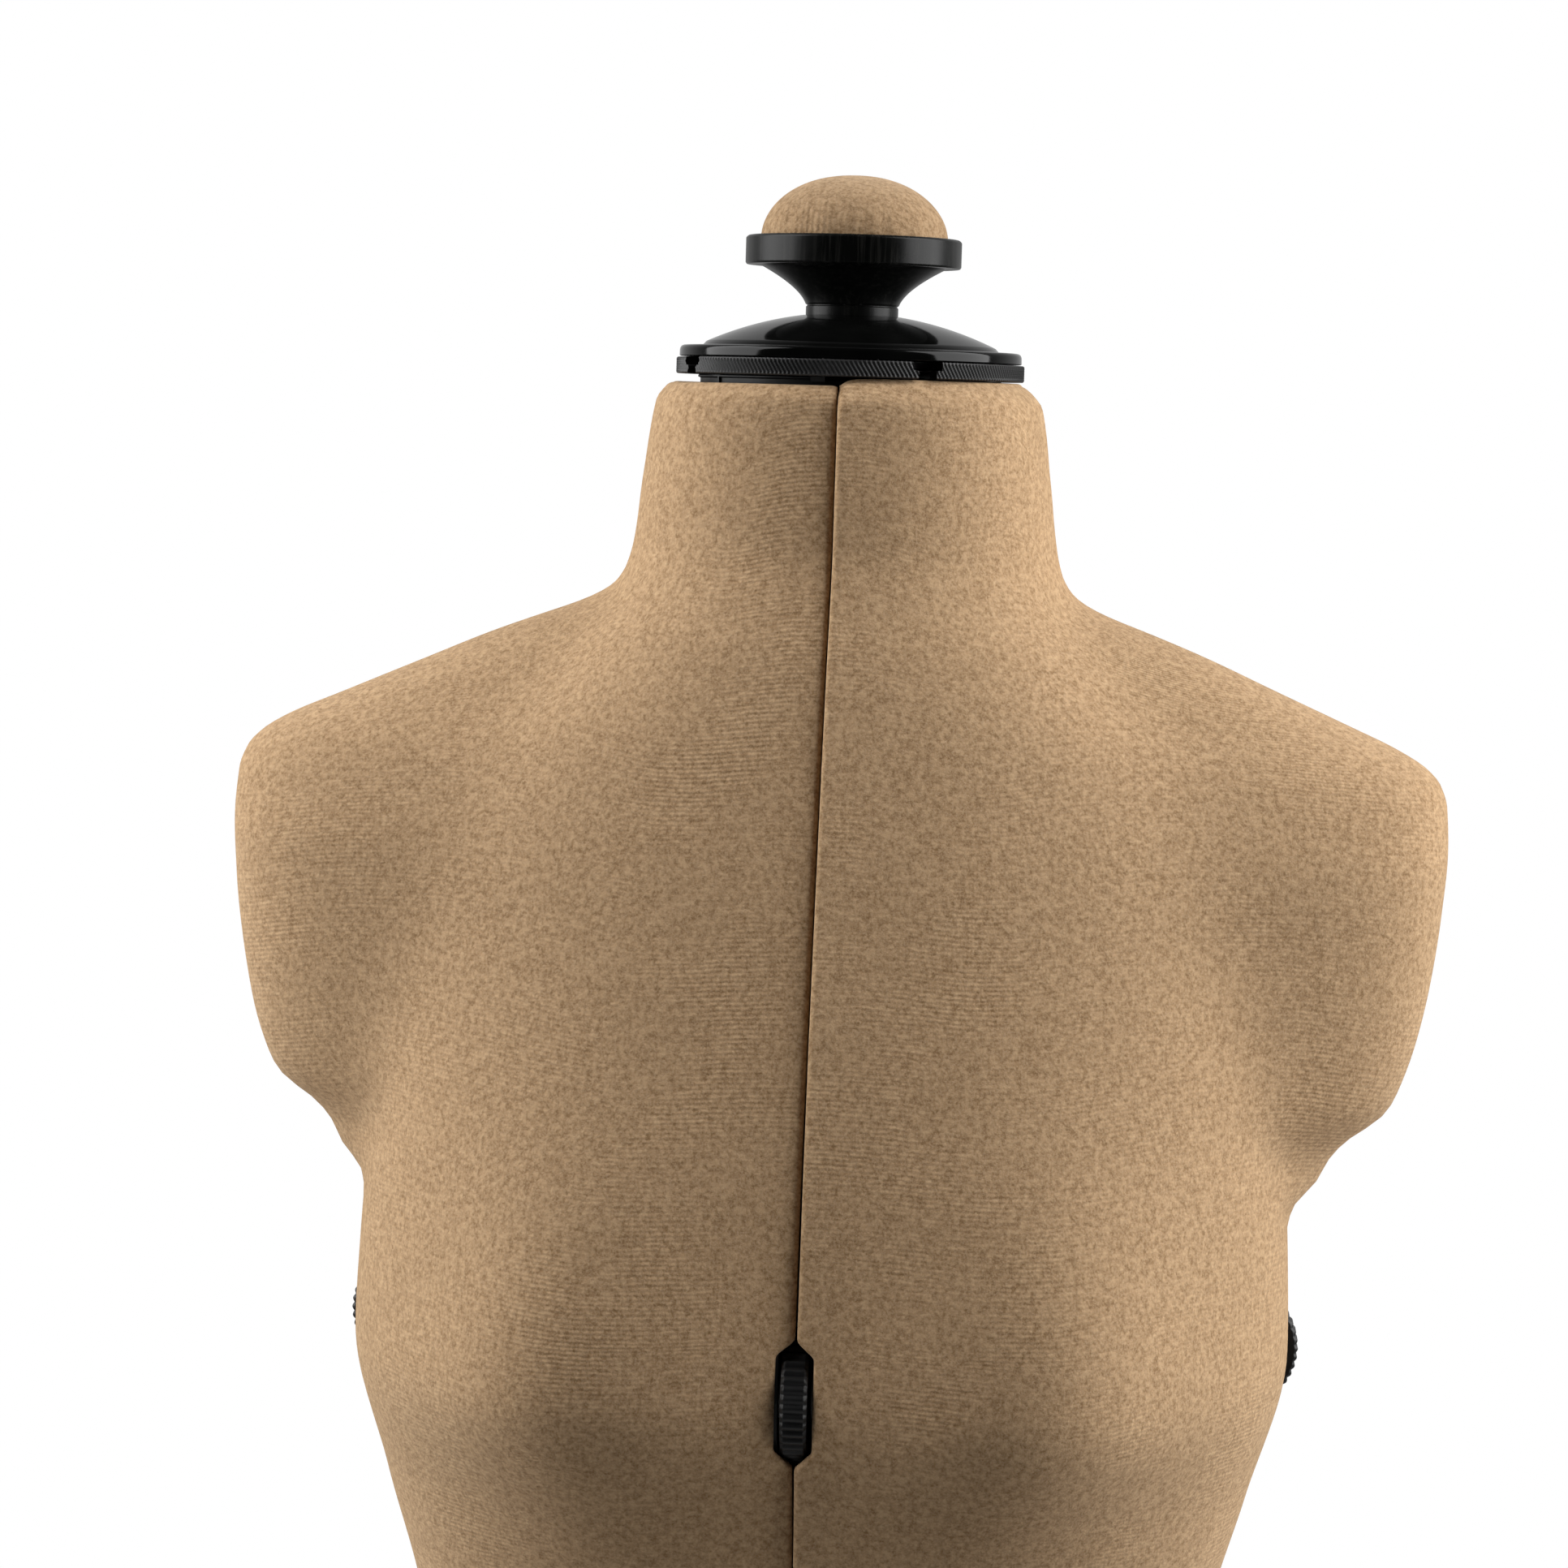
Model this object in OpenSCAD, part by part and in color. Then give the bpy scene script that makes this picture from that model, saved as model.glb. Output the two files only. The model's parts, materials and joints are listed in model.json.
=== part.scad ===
// Adjustable dress form: four fabric-covered torso panels that spread on threaded dials,
// hung from a neck plate on a telescoping stand. Front faces -Y, the form's left side is +X.

/* [Torso] */
// Height of the neck's top edge above the floor, column fully down
neck_h = 1400; // [1340:10:1460]
// Thickness of the foam-backed fabric cover
cover_t = 3.5; // [3:0.5:4]
// Thickness of the moulded panel shell under the cover
shell_t = 3; // [2.5:0.5:3.5]
// Gap between neighbouring panels when the form is closed
seam_gap = 1; // [0.8:0.1:1.4]
// Depth of the flange that turns inwards along each panel edge
flange_d = 22; // [18:1:22]

/* [Adjusters] */
// Radius of a dial wheel
dial_r = 20; // [19:0.5:20.5]
// Thickness of a dial wheel
dial_t = 8; // [7:0.5:8]
// How far a wheel stands proud of the cover, for a finger to turn it
dial_proud = 3.5; // [2.5:0.5:3.5]
// Radius of the threaded rods and of the guide rods
rod_r = 4; // [3.5:0.25:4]

/* [Neck] */
// Radius of the toothed neck dial
neck_dial_r = 54.5; // [54:0.5:56]
// Radius of the domed neck cap
cap_r = 53.5; // [52:0.5:54]
// Radius of the pincushion cup
cup_r = 33.7; // [32:0.1:36]

/* [Stand] */
// Radius of the outer column tube
outer_r = 16; // [15:0.5:17]
// Radius of the inner column tube
inner_r = 12.5; // [12.5:0.25:12.75]
// Radius of a leg tube
leg_r = 11; // [9:0.5:12]
// Bend radius of a leg
leg_bend = 350; // [348:1:352]

/* [Hidden] */
$fn = 64;
FIT = 0.05;                    // radial clearance of running and sliding fits
EMBED = 0.7;                   // how deep a moulded bracket sinks into a shell wall
SKIN_GAP = 0.3;                // space between cover and shell
LEVELS = [300, 430, 610];      // bust, waist and hip dials, below the neck's top
LEVEL_NAMES = ["bust", "waist", "hip"];
SIDES = ["front", "left", "back", "right"];   // turned a quarter at a time from the front
QUARTERS = [["front_left", 1, 1], ["front_right", -1, 1], ["back_left", 1, -1], ["back_right", -1, -1]];
CORNERS = ["front_left", "back_left", "back_right", "front_right"];

// Torso and neck: distance below the neck's top, half width, front depth, back depth
BODY = [
    [0, 53.5, 51.5, 51.5], [3, 57, 54.5, 54.5], [7, 59.8, 57, 57], [30, 63.2, 58.5, 59.5],
    [52, 66, 60, 62], [66, 71, 64, 66], [85, 88, 71, 75], [115, 118, 80, 86],
    [160, 137, 92, 95], [205, 143, 102, 97], [250, 145, 109, 95], [300, 147, 112, 90],
    [345, 136, 102, 84], [390, 124, 92, 79], [430, 119, 88, 78], [480, 129, 93, 87],
    [545, 152, 101, 105], [610, 167, 105, 117], [665, 168, 103, 115], [712, 164, 100, 111],
    [720, 161, 97, 108]];
// Shoulder and arm stub: distance below the neck's top, reach, half depth
SHOULDER = [
    [60, 50, 20], [66, 66, 27], [71, 80, 31], [76, 95, 35], [82, 111, 38], [92, 134, 42],
    [102, 157, 46], [110, 175, 49], [115, 183, 51], [120, 187.5, 53], [127, 189.8, 55],
    [140, 190.4, 58], [160, 189.2, 60], [180, 186.6, 60], [200, 182.6, 58], [214, 178, 55],
    [222, 174, 51], [227, 168, 47], [232, 160, 42], [238, 153, 38], [246, 146, 35],
    [256, 120, 25]];
torso_h = BODY[len(BODY) - 1][0];
// Heights of the loft's rings below the neck's top
RINGS = [
    0, 3, 8, 30, 52, 64, 70, 75, 81, 88, 97, 107, 115, 122, 132, 160, 190, 212, 222, 230, 238,
    250, 272, 300, 345, 390, 430, 480, 545, 610, 665, 712, 720];
// The shell stops short of the cover's top edge, to clear the neck plate
SHELL_RINGS = [for (s = RINGS) if (s > 0) s];
FLANGE_CLEAR = 41.5;           // flanges stop short of the top socket's disc
ARC_STEPS = 15;
BLEND = 12;                    // how sharply the shoulder joins the torso
BUST = [58, 20, 19];           // direction, angular spread, height of the bust
BUST_FADE = [75, 42];          // how fast the bust fades upwards and downwards
SEAT = [52, 24, 7, 610, 60];   // direction, angular spread, height, level and fade of the seat

width_travel = 20;             // how far a panel moves sideways
depth_travel = 10;             // how far a panel moves forwards or backwards
rod_depth = dial_r - dial_proud;
shell_depth = cover_t + SKIN_GAP;
inside_depth = shell_depth + shell_t;
ear_in = dial_t / 2 + 0.4;     // from a wheel's middle to its fork's ears
ear_t = 3;
bridge_at = dial_r + 1.5;      // from a wheel's axis back to its fork's bridge
bridge_t = 3;
nut_in = 8.1;
guide_in = 17;                 // where a guide rod's inner end rests

outer_wall = 1.5;
inner_wall = 1.25;
hub_r = 44;
hub_z = [66, 128];
leg_z = 100;
leg_angle = 40.4;              // how far round a leg bends, from level
leg_root = 22;                 // radius where a leg starts, inside the hub
leg_wall = 1.5;
end_gap = 0.01;                // clearance at a leg's ends, in degrees of its bend
foot_r = 17;
foot_h = 28;
collar_z = [590, 620, 645];
clamp_z = 632;
inner_bottom = 130;
socket_top = neck_h - 5.6;
plate_z = [neck_h - 2, neck_h + 1];
dial_z = [neck_h + 1.1, neck_h + 6.2];
plate_top = neck_h + 6.4;      // top of the neck plate's boss, where the cap is clamped
cap_z = neck_h + 7.5;
seat_z = 13.1;                 // the cap's flat seat above its rim
stud_r = 4;

// ---- The torso's surface ----

function secant(t, i, c) = (t[i + 1][c] - t[i][c]) / (t[i + 1][0] - t[i][0]);
// Slope at a row, limited so that the curve never overshoots its rows
function slope(t, i, c) =
    i == 0 ? secant(t, 0, c)
    : i == len(t) - 1 ? secant(t, i - 1, c)
    : let (a = secant(t, i - 1, c), b = secant(t, i, c)) a * b <= 0 ? 0 : 2 * a * b / (a + b);
function row_of(t, s, i = 0) = i >= len(t) - 2 || s < t[i + 1][0] ? i : row_of(t, s, i + 1);
// Column c of table t at s, by a smooth cubic between the rows
function smooth(t, s, c) =
    let (i = row_of(t, s), w = t[i + 1][0] - t[i][0], u = (s - t[i][0]) / w)
    (1 + 2 * u) * pow(1 - u, 2) * t[i][c] + u * pow(1 - u, 2) * w * slope(t, i, c)
    + u * u * (3 - 2 * u) * t[i + 1][c] + u * u * (u - 1) * w * slope(t, i + 1, c);
function clamped(x, lo, hi) = min(max(x, lo), hi);
// Radius of a superellipse with half axes a and b in direction th
function lobe(a, b, n, th) = pow(pow(cos(th) / a, n) + pow(sin(th) / b, n), -1 / n);
function bump(th, s, at, spread, level, fade) =
    exp(-pow((th - at) / spread, 2) - pow((s - level) / fade, 2));
// Cover radius at angle th from the side (0) to the centre line (90), at s below the neck's top
function radius(th, s_in, front) =
    let (s = clamped(s_in, 0, torso_h),
         squareness = 2 + 0.35 * clamped((s - 60) / 150, 0, 1),
         body = lobe(smooth(BODY, s, 1), smooth(BODY, s, front ? 2 : 3), squareness, th),
         arm_square = 2 + 0.7 * clamped((s - 105) / 40, 0, 1),
         inside = s > SHOULDER[0][0] && s < SHOULDER[len(SHOULDER) - 1][0],
         arm = inside ? lobe(smooth(SHOULDER, s, 1), smooth(SHOULDER, s, 2), arm_square, th) : 0,
         form = front
            ? BUST[2] * bump(th, s, BUST[0], BUST[1], LEVELS[0], BUST_FADE[s < LEVELS[0] ? 0 : 1])
            : SEAT[2] * bump(th, s, SEAT[0], SEAT[1], SEAT[3], SEAT[4]))
    pow(pow(body + form, BLEND) + pow(arm, BLEND), 1 / BLEND);
// The surface at depth t inside the cover's face, measured along and across
function eroded(th, s, front, t) =
    t == 0 ? radius(th, s, front)
    : min(radius(th, s - t, front), radius(th, s, front), radius(th, s + t, front)) - t;
// Directions closer together near the arm, where the surface turns fastest
function arc_angle(i) = 90 * pow(i / ARC_STEPS, 1.4);

function arc_points(s, front, t) =
    [for (i = [0:ARC_STEPS]) let (th = arc_angle(i), r = eroded(th, s, front, t))
        [r * cos(th), r * sin(th)]];
function reversed(v) = [for (i = [len(v) - 1:-1:0]) v[i]];

module loft(rings, levels) {
    n = len(rings[0]);
    m = len(rings);
    points = [for (j = [0:m - 1]) for (p = rings[j]) [p[0], p[1], -levels[j]]];
    // Each facet pair is split the same way on the way out and on the way back, so that walls stay parallel
    sides = [for (j = [0:m - 2]) for (i = [0:n - 1]) let (k = (i + 1) % n, a = j * n, b = a + n)
        each i <= ARC_STEPS
            ? [[a + i, b + i, a + k], [a + k, b + i, b + k]]
            : [[a + i, b + i, b + k], [a + i, b + k, a + k]]];
    polyhedron(points, concat(sides, [[for (i = [0:n - 1]) i]],
        [[for (i = [n - 1:-1:0]) (m - 1) * n + i]]), convexity = 10);
}

// Puts a quarter modelled at +X +Y into its place in the torso
module quarter(q) {
    mirror([q[1] < 0 ? 1 : 0, 0, 0])
        mirror([0, q[2] > 0 ? 1 : 0, 0])
            translate([seam_gap / 2, seam_gap / 2, neck_h])
                children();
}

module torso_cover(q) {
    front = q[2] > 0;
    color("burlywood")
        difference() {
            quarter(q)
                loft([for (s = RINGS) concat(arc_points(s, front, 0),
                    reversed(arc_points(s, front, cover_t)))], RINGS);
            dial_notches();
        }
}

// The shell's inner face between its two flanges
function inner_points(s, front) =
    let (first = asin(shell_t / eroded(0, s, front, inside_depth)),
         last = 90 - asin(shell_t / eroded(90, s, front, inside_depth)))
    [for (i = [0:ARC_STEPS])
        let (th = first + (last - first) * arc_angle(i) / 90, r = eroded(th, s, front, inside_depth))
            [i == ARC_STEPS ? shell_t : r * cos(th), i == 0 ? shell_t : r * sin(th)]];
// A panel's cross-section: the shell wall with a flange turned inwards at both edges
function shell_ring(s, front) =
    let (outer = arc_points(s, front, shell_depth),
         side = max(outer[0][0] - flange_d, FLANGE_CLEAR),
         centre = max(outer[ARC_STEPS][1] - flange_d, FLANGE_CLEAR))
    concat(outer, [[0, centre], [shell_t, centre]], reversed(inner_points(s, front)),
        [[side, shell_t], [side, 0]]);

module torso_shell(q) {
    front = q[2] > 0;
    color("dimgray")
        difference() {
            quarter(q)
                loft([for (s = SHELL_RINGS) shell_ring(s, front)], SHELL_RINGS);
            dial_notches();
        }
}

// ---- Dials, their carriers and the panels' nuts ----

function is_across(side) = side % 2 == 0;
function half_rod(side) = is_across(side) ? 40 : 27;
function face_at(side, level) =
    radius(is_across(side) ? 90 : 0, LEVELS[level], side != 2) + seam_gap / 2;
function dial_at(side, level) = face_at(side, level) - rod_depth;

// Puts children where a dial sits, with the rod along X and the outside towards -Y
module at_dial(side, level) {
    rotate([0, 0, 90 * side])
        translate([0, -dial_at(side, level), neck_h - LEVELS[level]])
            children();
}

// Openings in the panel edges that let each wheel show and clear its carrier
module dial_notches() {
    skin_w = dial_t + 2.4;
    skin_h = 2 * dial_r - 1;
    flange_h = 2 * dial_r + 6;
    for (side = [0:3], level = [0:2])
        at_dial(side, level) {
            translate([-skin_w / 2, -rod_depth - 20, -skin_h / 2]) cube([skin_w, 45, skin_h]);
            translate([-skin_w / 2, -rod_depth + 9, -flange_h / 2]) cube([skin_w, 40, flange_h]);
        }
}

module dial(side, level) {
    grips = 24;
    color("black")
        at_dial(side, level)
            rotate([0, 90, 0])
                difference() {
                    union() {
                        cylinder(r = dial_r, h = dial_t, center = true);
                        cylinder(r = rod_r, h = 2 * half_rod(side), center = true);
                    }
                    for (i = [0:grips - 1])
                        rotate([0, 0, i * 360 / grips])
                            translate([dial_r + 0.5, 0, 0]) cylinder(r = 1.5, h = dial_t + 1, center = true);
                }
}

// A fork that holds one dial and slides on the spider's arm
module carrier(side, level) {
    ear_r = 7;
    rod_l = dial_at(side, level) - guide_in - bridge_at - 1;
    at_dial(side, level)
        difference() {
            union() {
                for (x = [-ear_in - ear_t, ear_in])
                    translate([x, 0, 0]) {
                        rotate([0, 90, 0]) cylinder(r = ear_r, h = ear_t);
                        translate([0, 0, -ear_r]) cube([ear_t, bridge_at + bridge_t, 2 * ear_r]);
                    }
                translate([-ear_in - ear_t, bridge_at, -ear_r])
                    cube([2 * (ear_in + ear_t), bridge_t, 2 * ear_r]);
                translate([0, bridge_at + 1, 0]) rotate([-90, 0, 0]) cylinder(r = rod_r, h = rod_l);
            }
            rotate([0, 90, 0]) cylinder(r = rod_r + FIT, h = 40, center = true);
        }
}

module dial_carriers(side) {
    color("gainsboro")
        for (level = [0:2]) carrier(side, level);
}

// Sleeves on the column, each with four arms that guide the carriers
module spider_hubs() {
    sleeve_r = 18;
    arm_r = 7;
    color("gainsboro")
        for (level = [0:2])
            translate([0, 0, neck_h - LEVELS[level]])
                difference() {
                    union() {
                        cylinder(r = sleeve_r, h = 24, center = true);
                        for (side = [0:3])
                            rotate([90, 0, 90 * side])
                                cylinder(r = arm_r, h = dial_at(side, level) - bridge_at - bridge_t - 1);
                    }
                    cylinder(r = inner_r + FIT, h = 30, center = true);
                    for (side = [0:3])
                        rotate([90, 0, 90 * side]) cylinder(r = rod_r + FIT, h = 200);
                }
}

// Threaded blocks moulded to a panel's inside, two at each level
module rod_nuts(q) {
    front = q[2] > 0;
    across = front ? 0 : 2;
    along = q[1] > 0 ? 1 : 3;
    color("gainsboro")
        for (level = [0:2]) {
            at_dial(across, level)
                nut_block(across, q[1] * (front ? 1 : -1), 10);
            at_dial(along, level)
                nut_block(along, (front ? -1 : 1) * (along == 1 ? 1 : -1), 7.5);
        }
}

module nut_block(side, way, length) {
    reach = rod_depth - inside_depth + EMBED;
    difference() {
        translate([way > 0 ? nut_in : -nut_in - length, -reach, -7])
            cube([length, reach + 7, 14]);
        rotate([0, 90, 0]) cylinder(r = rod_r + FIT, h = 90, center = true);
    }
}

// ---- Neck ----

// A tongue that hangs a panel from the neck, sliding between plate and socket
module neck_arm(q) {
    wide = 14;
    color("black")
        mirror([q[1] < 0 ? 1 : 0, 0, 0])
            mirror([0, q[2] > 0 ? 1 : 0, 0])
                rotate([0, 0, 45])
                    translate([0, wide / 2, neck_h])
                        rotate([90, 0, 0])
                            linear_extrude(wide)
                                polygon([[22, -5.3], [45.5, -5.3], [45.5, -10], [48, -24],
                                    [53.4, -24], [53.4, -11], [48.3, -8], [48.3, -2.3], [22, -2.3]]);
}

module top_socket() {
    color("gainsboro")
        difference() {
            union() {
                translate([0, 0, neck_h - 75]) cylinder(r = 17, h = 68);
                translate([0, 0, socket_top - 4]) cylinder(r = 40, h = 4);
                for (a = [0:90:270])
                    rotate([0, 0, a]) translate([0, -1.5, neck_h - 40]) cube([34, 3, 32]);
            }
            translate([0, 0, neck_h - 76]) cylinder(r = inner_r + 2 * FIT, h = 62);
            translate([0, 0, neck_h - 20]) cylinder(r = stud_r + FIT, h = 20);
        }
}

module neck_plate() {
    plate_r = 47.5;
    ribs = 20;
    color("black")
        difference() {
            union() {
                translate([0, 0, plate_z[0]]) cylinder(r = plate_r - 1.5, h = plate_z[1] - plate_z[0]);
                translate([0, 0, plate_z[1] - 0.8]) cylinder(r = plate_r, h = 0.8);
                for (i = [0:ribs - 1])
                    rotate([0, 0, i * 360 / ribs])
                        translate([plate_r - 3, -0.8, plate_z[0]]) cube([3, 1.6, 3]);
                translate([0, 0, plate_z[1] - 1]) cylinder(r = 15, h = plate_top - plate_z[1] + 1);
                for (a = [0:90:270])
                    rotate([0, 0, a]) translate([30, 0, socket_top]) cylinder(r = 4, h = 5);
            }
            translate([0, 0, neck_h - 10]) cylinder(r = stud_r + FIT, h = 30);
        }
}

// Toothed dial under the cap: a rim with four stepped notches on a thin web
module neck_dial() {
    rim_t = 4.5;
    web_t = 2;
    first_notch = -60.5;
    mid = (dial_z[0] + dial_z[1]) / 2;
    color("black")
        difference() {
            translate([0, 0, dial_z[0]]) cylinder(r = neck_dial_r, h = dial_z[1] - dial_z[0]);
            translate([0, 0, dial_z[0] - 1])
                cylinder(r = neck_dial_r - rim_t, h = dial_z[1] - web_t - dial_z[0] + 1);
            translate([0, 0, dial_z[0]]) cylinder(r = 15 + FIT, h = 10);
            for (a = [0:90:270])
                rotate([0, 0, first_notch + a]) {
                    translate([46, -3, dial_z[0] - 1]) cube([12, 6, 10]);
                    translate([46, -5, mid]) cube([12, 10, 6]);
                }
        }
}

// Part of a sphere of radius R whose top would stand at height top on the axis
function dome(top, R, radii) = [for (r = radii) [r, top - R + sqrt(R * R - r * r)]];

module neck_cap() {
    lip_h = 3.6;
    wall = 2.5;
    dome_r = 107;
    round_r = 2.4;
    color("black")
        translate([0, 0, cap_z])
            difference() {
                union() {
                    rotate_extrude()
                        polygon(concat(
                            [[0, seat_z], [14.5, seat_z]], dome(14.1, dome_r, [18:4.5:45]),
                            [[45.5, lip_h]],
                            [for (a = [90:-15:0]) [cap_r - round_r + round_r * cos(a),
                                lip_h - round_r + round_r * sin(a)]],
                            [[cap_r, 0], [cap_r - wall, 0], [cap_r - wall, 1.4], [43, 1.4]],
                            reversed(dome(14.1 - wall, dome_r - wall, [0:6:42]))));
                    translate([0, 0, plate_top - cap_z + FIT])
                        cylinder(r = 9, h = seat_z + cap_z - plate_top - 0.2);
                }
                translate([0, 0, -2]) cylinder(r = stud_r + FIT, h = 30);
            }
}

module centre_stud() {
    color("silver")
        translate([0, 0, neck_h - 13.8]) cylinder(r = stud_r, h = 47);
}

// Hexagon nut and washer that clamp the cap to the neck plate, inside the cup's neck
module stud_nut() {
    color("silver")
        difference() {
            union() {
                translate([0, 0, cap_z + seat_z + 0.05]) cylinder(r = 9, h = 1.4);
                translate([0, 0, cap_z + seat_z + 1.45]) cylinder(r = 7.2, h = 5.5, $fn = 6);
            }
            cylinder(r = stud_r + FIT, h = 2 * neck_h);
        }
}

// Quadratic curve through p and r, pulled towards q
function curve(p, q, r, steps) =
    [for (i = [0:steps]) let (u = i / steps)
        (1 - u) * (1 - u) * p + 2 * u * (1 - u) * q + u * u * r];

module pincushion_cup() {
    base = seat_z + 0.2;
    rim = [29.1, 38.1];
    color("black")
        translate([0, 0, cap_z])
            difference() {
                rotate_extrude()
                    polygon(concat(
                        [[0, base], [14.4, base], [14.4, 16.8], [14.1, 17]],
                        curve([14.6, 17.3], [16.5, 22.4], [28.4, rim[0]], 10),
                        [[cup_r - 0.5, rim[0]], [cup_r, rim[0] + 0.5], [cup_r, rim[1] - 0.6],
                         [cup_r - 0.6, rim[1]], [29.4, rim[1]], [29.4, 32.5], [0, 32.5]]));
                translate([0, 0, base - 1]) cylinder(r = 9.5, h = 9.4);
                translate([0, 0, base]) cylinder(r = stud_r + FIT, h = 14);
            }
}

// A stuffed dome that sits in the cup: half an ellipsoid on a short cylinder
module cushion_form(grow) {
    rise = 18.4;
    squash = [for (a = [0:6:90]) [(29 + grow) * cos(a), 38 + (rise + grow) * sin(a)]];
    translate([0, 0, cap_z])
        rotate_extrude()
            polygon(concat([[0, 32.7 - grow]], [[29 + grow, 32.7 - grow]], squash));
}

module pincushion_cover() {
    color("burlywood")
        difference() {
            cushion_form(0);
            cushion_form(-2);
        }
}

module pincushion_filling() {
    color("white")
        cushion_form(-2.1);
}

// ---- Stand ----

module outer_tube() {
    color("black")
        difference() {
            translate([0, 0, 72.2]) cylinder(r = outer_r, h = collar_z[1] - 72.2);
            translate([0, 0, 70]) cylinder(r = outer_r - outer_wall, h = collar_z[1]);
        }
}

// A leg's bend as a bar of radius r, from angle a0 to angle a1 below level
module leg_bar(r, a0, a1, bore = 0) {
    translate([leg_root, 0, leg_z - leg_bend])
        rotate([90, 0, 0])
            rotate([0, 0, 90 - a1])
                rotate_extrude(angle = a1 - a0)
                    translate([leg_bend, 0])
                        difference() {
                            circle(r = r);
                            if (bore > 0) circle(r = bore);
                        }
}

module leg(corner) {
    color("black")
        rotate([0, 0, -45 + 90 * corner])
            leg_bar(leg_r, 0, leg_angle, leg_r - leg_wall);
}

module foot(corner) {
    color("black")
        rotate([0, 0, -45 + 90 * corner])
            difference() {
                translate([leg_root + leg_bend * sin(leg_angle), 0, 0])
                    cylinder(r1 = foot_r, r2 = foot_r - 1.5, h = foot_h);
                leg_bar(leg_r + FIT, leg_angle / 2, leg_angle + end_gap);
            }
}

module base_hub() {
    color("black")
        difference() {
            union() {
                translate([0, 0, hub_z[0]]) cylinder(r = hub_r, h = hub_z[1] - hub_z[0] - 5);
                translate([0, 0, hub_z[1] - 5]) cylinder(r1 = hub_r, r2 = hub_r - 3, h = 5);
                translate([0, 0, hub_z[1]]) cylinder(r1 = 26, r2 = 21, h = 12);
            }
            translate([0, 0, 72]) cylinder(r = outer_r + FIT, h = 100);
            for (c = [0:3])
                rotate([0, 0, -45 + 90 * c]) {
                    leg_bar(leg_r + FIT, -end_gap, 8);
                    translate([35, 0, leg_z]) cylinder(r = 3 + FIT, h = 60);
                }
        }
}

module leg_screws() {
    color("silver")
        for (c = [0:3])
            rotate([0, 0, -45 + 90 * c])
                translate([35, 0, leg_z + leg_r + 0.1]) {
                    cylinder(r = 3, h = hub_z[1] - leg_z - leg_r);
                    difference() {
                        translate([0, 0, hub_z[1] - leg_z - leg_r]) cylinder(r = 5, h = 5);
                        translate([0, 0, hub_z[1] - leg_z - leg_r + 2]) cylinder(r = 2.9, h = 4, $fn = 6);
                    }
                }
}

module height_collar() {
    color("black")
        difference() {
            union() {
                translate([0, 0, collar_z[0]]) cylinder(r1 = outer_r + 4, r2 = outer_r + 6, h = 8);
                translate([0, 0, collar_z[0] + 8])
                    cylinder(r = outer_r + 6, h = collar_z[2] - collar_z[0] - 8);
                translate([0, 0, clamp_z]) rotate([0, 90, 0]) cylinder(r = 10, h = 34);
            }
            translate([0, 0, collar_z[0] - 1]) cylinder(r = outer_r + FIT, h = collar_z[1] - collar_z[0] + 1.1);
            translate([0, 0, collar_z[0]]) cylinder(r = inner_r + 2 * FIT, h = 60);
            translate([0, 0, clamp_z]) rotate([0, 90, 0]) cylinder(r = stud_r + FIT, h = 40);
            translate([22, 0, clamp_z]) rotate([0, 90, 0]) cylinder(r = 6.5 + FIT, h = 20);
        }
}

module collar_insert() {
    color("gold")
        translate([22.1, 0, clamp_z])
            rotate([0, 90, 0])
                difference() {
                    cylinder(r = 6.5, h = 11.9);
                    translate([0, 0, -1]) cylinder(r = stud_r + FIT, h = 15);
                }
}

module clamp_screw() {
    color("silver")
        translate([inner_r + 0.2, 0, clamp_z]) rotate([0, 90, 0]) cylinder(r = stud_r, h = 36);
}

// Hand knob on the clamp screw, its grip scalloped
module clamp_knob() {
    scallops = 6;
    color("black")
        translate([35.5, 0, clamp_z])
            rotate([0, 90, 0])
                difference() {
                    rotate_extrude()
                        polygon([[0, 0], [8, 0], [10, 4], [18, 5], [19, 6], [19, 17], [17, 19], [0, 20]]);
                    for (i = [0:scallops - 1])
                        rotate([0, 0, i * 360 / scallops])
                            translate([25, 0, -1]) cylinder(r = 9, h = 22);
                    translate([0, 0, -1]) cylinder(r = stud_r + FIT, h = 15);
                }
}

module inner_tube() {
    color("silver")
        difference() {
            translate([0, 0, inner_bottom]) cylinder(r = inner_r, h = neck_h - 16.2 - inner_bottom);
            translate([0, 0, 100]) cylinder(r = inner_r - inner_wall, h = neck_h);
        }
}

module glide_bush() {
    color("white")
        difference() {
            translate([0, 0, inner_bottom]) cylinder(r = outer_r - outer_wall - FIT, h = 40);
            translate([0, 0, inner_bottom - 1]) cylinder(r = inner_r + FIT, h = 42);
        }
}

module swivel_washer() {
    color("white")
        translate([0, 0, neck_h - 16.1]) cylinder(r = inner_r - 0.2, h = 2);
}

base_hub();
leg_screws();
outer_tube();
height_collar();
collar_insert();
clamp_screw();
clamp_knob();
inner_tube();
glide_bush();
swivel_washer();
top_socket();
neck_plate();
spider_hubs();
neck_dial();
neck_cap();
centre_stud();
stud_nut();
pincushion_cup();
pincushion_cover();
pincushion_filling();
for (c = [0:3]) {
    leg(c);
    foot(c);
}
for (q = QUARTERS) {
    torso_shell(q);
    torso_cover(q);
    neck_arm(q);
    rod_nuts(q);
}
for (s = [0:3]) {
    dial_carriers(s);
    for (l = [0:2])
        dial(s, l);
}
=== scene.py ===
"""An adjustable dress form on its stand: the looks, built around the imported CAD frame.

Lengths are in metres. The form faces -Y, and its own left side is +X.
"""

import json
import math

import bmesh
import bpy
import numpy as np
from mathutils import Matrix, Quaternion, Vector


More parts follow.
